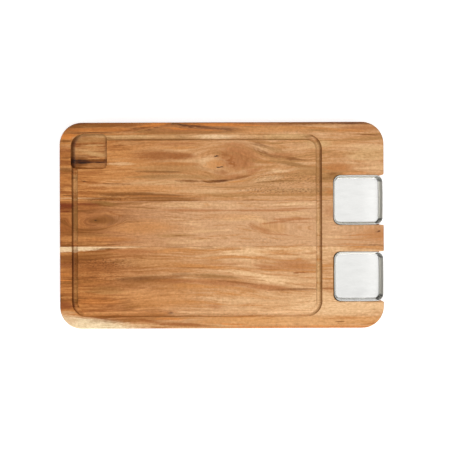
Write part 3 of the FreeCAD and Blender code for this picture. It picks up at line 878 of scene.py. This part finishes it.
# Share of the streaks in the wood's tone, and of the noises in the fray of marks.
STREAKS_IN_TONE = 0.5
FRAY = {"Streaks": 1.6, "Stripes": 1.4, "Fibres": 1.5}

# How far the fray shifts the ends and sides of marks, in millimetres.
FRAY_ALONG = 12.0
FRAY_ACROSS = 0.8
FRAY_IN_CUTS = 0.5

# Where a palette's first tone lies on the scale of the wood's tone, and how much further its last one lies.
PALETTE_START = 0.3
PALETTE_SPAN = 0.4

# Strength of the oiled wood's reflections, where 0.5 is a plain varnish, and its bumps.
WOOD_SHINE = 0.22
WOOD_BUMPS = {"Strength": 0.25, "Distance": 0.2 * MILLIMETRE}


def palette(weight, tones):
    """Wood tones from dark to light, picked by a weight about 0.5."""
    made = add(weight.tree, "ShaderNodeValToRGB", {0: weight})
    stops = made.color_ramp.elements
    for _ in tones[2:]:
        stops.new(0.5)
    for number, tone in enumerate(tones):
        stops[number].position = PALETTE_START + PALETTE_SPAN * number / (len(tones) - 1)
        stops[number].color = albedo(tone)
    return Value(weight.tree, made.outputs[0])


def marked(colour, entry, place, share=1.0):
    """A colour with one mark on it."""
    label, tone, placed = entry
    mask = use(colour.tree, wood_mark, {**place, **placed}, label)["Mask"]
    return mix(colour.tree, mask * share, colour, albedo(tone))


def acacia(name, stave):
    """Oiled acacia for one stave, with its own bands and marks."""
    material, tree, shader, coordinates = new_material(name)
    shader.inputs["Specular IOR Level"].default_value = WOOD_SHINE
    inputs = {"Position": coordinates["Object"], "Ring Lean": stave["lean"], "Seed": stave["seed"]}
    place = use(tree, grain_place, inputs)
    across = place["Across"]
    for x, y, length, width, shift in stave["bulges"]:
        inputs = {"Along": place["Along"], "Across": across, "X": x, "Y": y, "Half Length": length}
        across = use(tree, push, {**inputs, "Half Width": width, "Shift": shift})["Across"]
    for x, y, stretch, radius in stave["eyes"]:
        inputs = {"Along": place["Along"], "Across": across, "X": x, "Y": y}
        across = use(tree, eye, {**inputs, "Stretch": stretch, "Radius": radius})["Across"]
    inputs = {"Along": place["Along"], "Across": across, "Depth": place["Depth"], "Seed": stave["seed"]}
    wood = use(tree, figure, inputs)

    swung = {effect: wood[effect] - 0.5 for effect in FRAY}
    weight = swung["Streaks"] * STREAKS_IN_TONE + (wood["Bands"] + swung["Stripes"])
    turn = ramp(place["Ragged Along"], *stave["turn"])
    colour = mix(tree, turn, palette(weight, stave["left"]), palette(weight, stave["right"]))
    fray = swung["Streaks"] * FRAY["Streaks"] + swung["Stripes"] * FRAY["Stripes"]
    fray = swung["Fibres"] * FRAY["Fibres"] + fray
    along = fray * FRAY_ALONG + place["Ragged Along"]
    on_face = {"Along": along, "Across": fray * FRAY_ACROSS + place["Ragged Across"], "Fray": fray}
    for entry in stave["marks"]:
        colour = marked(colour, entry, on_face)
    in_cut = {"Along": along, "Across": fray * FRAY_IN_CUTS + place["Cut Across"], "Fray": fray}
    cut = ramp(place["Depth"], *CUT_MARK_DEPTHS)
    for entry in stave["cut marks"]:
        colour = marked(colour, entry, in_cut, cut)
    speckled = 0.0
    for label, placed in stave["specks"].items():
        zone = use(tree, wood_mark, {**on_face, **placed}, label)["Mask"]
        speckled = zone.calc("MAXIMUM", speckled)

    low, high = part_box(name)
    inputs = {
        "Colour": colour, "Streaks": wood["Streaks"], "Fibres": wood["Fibres"], "Shimmer": wood["Shimmer"],
        "Pores": wood["Pores"], "Specks": speckled * wood["Specks"], "Depth": place["Depth"],
        "Position": coordinates["Object"], "Normal": coordinates["Normal"],
        "Glue Line 1": low.y, "Glue Line 2": high.y,
    }
    oiled = use(tree, oiled_finish, inputs)
    wire(tree, shader, oiled["Colour"], oiled["Roughness"], oiled["Height"], WOOD_BUMPS)
    return material


# Steel

# Tint of a tray's floor and of its drawn walls, how much paler the walls are, partly for their drawn finish
# and partly as painted light, how much duller, and by which tilts.
FLOOR_STEEL = (1.0, 0.995, 0.97, 1.0)
WALL_STEEL = (1.0, 0.97, 0.88, 1.0)
WALL_GAIN = 0.42
WALL_ROUGHNESS = 0.2
WALL_TILTS = (0.995, 0.75)

# The steel's shade and roughness, and how much clouds and brushed lines add to them.
STEEL_SHADE = 0.42
CLOUDS_IN_SHADE = 0.08
LINES_IN_SHADE = 0.04
STEEL_ROUGHNESS = 0.2
LINES_IN_ROUGHNESS = 0.12
STEEL_BUMPS = {"Strength": 0.15, "Distance": 0.05 * MILLIMETRE}

# How fast lines and clouds change along, across and up, in cycles a metre, and their seed, detail, roughness.
LINE_RATES = (60, 2600, 2600)
LINE_NOISE = (5.0, 3.0, 0.6)
CLOUD_RATES = (55, 160, 160)
CLOUD_NOISE = (8.0, 3.0, 0.55)

# Where along the board painted light makes a tray paler to its right, and from which share to which.
PAINTED_LIGHT_TO_RIGHT = (0.185, 0.215, 1.0, 1.11)

# Painted light and shade on a tray's walls and corners: the share of their light that each keeps. Near is the
# side of negative Y.
TRAY_PAINTED_LIGHT = {
    "upper_sauce_tray": {
        "Left Wall": 1.12, "Right Foot": 0.68, "Near Wall": 1.0, "Far Wall": 0.8,
        "Near Right Corner": 0.35, "Far Right Corner": 0.72, "Near Left Corner": 1.0,
    },
    "lower_sauce_tray": {
        "Left Wall": 1.15, "Right Foot": 0.45, "Near Wall": 1.28, "Far Wall": 0.9,
        "Near Right Corner": 0.3, "Far Right Corner": 0.45, "Near Left Corner": 0.25,
    },
}

# Tilts between which walls and corners get their painted light and shade.
LEFT_TILTS = (0.05, 0.5)
RIGHT_TILTS = (0.02, 0.2)
RIGHT_ENDS = (0.98, 0.7)
NEAR_TILTS = (0.02, 0.3)
FAR_TILTS = (0.03, 0.4)
CORNER_TILTS = (0.0, 0.15)
CORNER_SLANTS = (0.06, 0.2)
CORNER_ENDS = (0.47, 0.36)
NEAR_LEFT_TILTS = ((0.5, 0.7), (0.15, 0.35))


def make_tray_painted_light():
    """Painted light and shade on a tray's inner walls and the corners of its floor, by how they face."""
    sides = dict.fromkeys(TRAY_PAINTED_LIGHT["upper_sauce_tray"], 1.0)
    tree, inside = new_group("Tray painted light", {"Normal": (0.0, 0.0, 1.0), **sides}, ["Shade"])
    to_right, to_far, _ = split(tree, inside["Normal"])
    to_left = -to_right
    to_near = -to_far
    slant = abs(to_right * to_far)
    foot = ramp(slant, *CORNER_SLANTS) * ramp(slant, *CORNER_ENDS)

    def corner(first, second):
        return ramp(first, *CORNER_TILTS) * ramp(second, *CORNER_TILTS) * foot

    masks = {
        "Left Wall": ramp(to_right, *LEFT_TILTS),
        "Right Foot": ramp(to_left, *RIGHT_TILTS) * ramp(to_left, *RIGHT_ENDS),
        "Near Wall": ramp(to_far, *NEAR_TILTS),
        "Far Wall": ramp(to_near, *FAR_TILTS),
        "Near Right Corner": corner(to_left, to_far),
        "Far Right Corner": corner(to_left, to_near),
        "Near Left Corner": ramp(to_right, *NEAR_LEFT_TILTS[0]) * ramp(to_far, *NEAR_LEFT_TILTS[1]),
    }
    shade = 1.0
    for label, mask in masks.items():
        shade = (mask * (inside[label] - 1.0) + 1.0) * shade
    return finish_group(tree, {"Shade": shade})


tray_painted_light = make_tray_painted_light()


def brushed_steel(name, walls):
    """Stainless steel brushed along the board's length, with drawn walls, and painted light and shade on
    walls, corners and floor.
    """
    material, tree, shader, coordinates = new_material(name)
    shader.inputs["Metallic"].default_value = 1.0
    lines = noise(scaled(tree, coordinates["Object"], LINE_RATES), *LINE_NOISE)
    clouds = noise(scaled(tree, coordinates["Object"], CLOUD_RATES), *CLOUD_NOISE)
    along = split(tree, coordinates["Object"])[0]
    facing_up = split(tree, coordinates["Normal"])[2]
    upright = ramp(abs(facing_up), *WALL_TILTS)
    shade = lines * LINES_IN_SHADE + (clouds * CLOUDS_IN_SHADE + STEEL_SHADE)
    # Painted light: walls paler than the floor, partly so, and the floor paler to its right.
    shade = upright * WALL_GAIN + shade * ramp(along, *PAINTED_LIGHT_TO_RIGHT)
    shade = shade * use(tree, tray_painted_light, {"Normal": coordinates["Normal"], **walls})["Shade"]
    colour = tinted(mix(tree, upright, FLOOR_STEEL, WALL_STEEL), shade)
    rough = upright * WALL_ROUGHNESS + (lines * LINES_IN_ROUGHNESS + STEEL_ROUGHNESS)
    wire(tree, shader, colour, rough, lines, STEEL_BUMPS)
    return material


def dress(node, material):
    """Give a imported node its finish."""
    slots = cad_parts[node].data.materials
    slots.clear()
    slots.append(material)


for name, stave in STAVES.items():
    dress(name, acacia(name, stave))
for name, walls in TRAY_PAINTED_LIGHT.items():
    dress(name, brushed_steel(name, walls))

# Floor, lights and camera

FLOOR_SIZE = 8.0
FLOOR_WHITE = (0.88, 0.88, 0.88, 1.0)
FLOOR_FINISH = {
    "Base Color": FLOOR_WHITE, "Emission Color": FLOOR_WHITE, "Emission Strength": 0.55,
    "Roughness": 0.6, "Specular IOR Level": 0.2,
}
CAMERA_HEIGHT = 1.27
SEEN_WIDTH = 0.61065
CAMERA_X = 0.0043
CAMERA_Y = 0.0004
CAMERA_TURN = math.radians(-0.2)
SENSOR = 36.0

# The sky's strength, how much duller its dull parts are, and the directions where they start and end.
SKY_STRENGTH = 0.48
DUSK_SHARE = 0.8
CORNERS = (0.08, 0.26)
BRIGHT_FRONT_RIGHT = (0.3, 0.8)
OVER_LEFT_X = -0.34
OVER_LEFT_REACH = (0.34, 0.16)
OVER_LEFT_HEIGHTS = (0.3, 0.6)

# Soft lights: place, aim, width, depth and watts.
LIGHTS = {
    "front_soft": ((0.1, -1.6, 1.3), (0, 0, 0), 1.8, 0.8, 24),
    "left_soft": ((-1.7, 0.0, 0.8), (0, 0, 0), 1.2, 0.6, 7),
    "overhead_soft": ((0.9, 0.4, 2.0), (0.9, 0.4, 0), 2.2, 2.0, 19.5),
}


def make_floor():
    """A pale table top that hides nothing from below."""
    bpy.ops.mesh.primitive_plane_add(size=FLOOR_SIZE)
    floor = bpy.context.object
    floor.name = "table_top"
    material, tree, shader, _ = new_material("table_white")
    for label, value in FLOOR_FINISH.items():
        shader.inputs[label].default_value = value
    behind = add(tree, "ShaderNodeNewGeometry").outputs["Backfacing"]
    clear = add(tree, "ShaderNodeBsdfTransparent").outputs[0]
    both = add(tree, "ShaderNodeMixShader", {0: behind, 1: shader.outputs[0], 2: clear})
    feed(tree, tree.nodes["Material Output"].inputs["Surface"], both.outputs[0])
    floor.data.materials.append(material)


def soft_light(name, place, aim, width, depth, watts):
    """A rectangular soft light at a place, turned to a point, that the camera doesn't see."""
    light = bpy.data.lights.new(name, "AREA")
    light.shape = "RECTANGLE"
    light.size = width
    light.size_y = depth
    light.energy = watts
    lamp = bpy.data.objects.new(name, light)
    lamp.location = place
    lamp.rotation_euler = (Vector(aim) - Vector(place)).to_track_quat("-Z", "Y").to_euler()
    lamp.visible_camera = False
    bpy.context.scene.collection.objects.link(lamp)


def make_sky():
    """Pale light from all round, duller in the room's corners and over the camera's left."""
    world = bpy.data.worlds.new("pale_room")
    world.use_nodes = True
    tree = world.node_tree
    x, y, z = split(tree, add(tree, "ShaderNodeTexCoord").outputs["Generated"])
    corner = ramp(abs(x * y), *CORNERS) * (1.0 - ramp(x - y, *BRIGHT_FRONT_RIGHT))
    beside = x - OVER_LEFT_X
    off = (beside * beside + y * y).calc("SQRT")
    over_left = ramp(off, *OVER_LEFT_REACH) * ramp(z, *OVER_LEFT_HEIGHTS)
    dusk = corner.calc("MAXIMUM", over_left)
    background = tree.nodes["Background"]
    background.inputs["Color"].default_value = (1.0, 1.0, 1.0, 1.0)
    feed(tree, background.inputs["Strength"], dusk * (-DUSK_SHARE * SKY_STRENGTH) + SKY_STRENGTH)
    bpy.context.scene.world = world


def make_camera():
    """Straight above the board, at the distance that the picture's perspective gives."""
    data = bpy.data.cameras.new("overhead")
    data.sensor_width = SENSOR
    data.lens = SENSOR * CAMERA_HEIGHT / SEEN_WIDTH
    camera = bpy.data.objects.new("overhead", data)
    camera.location = (CAMERA_X, CAMERA_Y, BOARD_TOP + CAMERA_HEIGHT)
    camera.rotation_euler = (0.0, 0.0, CAMERA_TURN)
    bpy.context.scene.collection.objects.link(camera)
    bpy.context.scene.camera = camera


make_floor()
make_sky()
for name, light in LIGHTS.items():
    soft_light(name, *light)
make_camera()

settings = bpy.context.scene.view_settings
settings.view_transform = "Standard"
settings.look = "None"
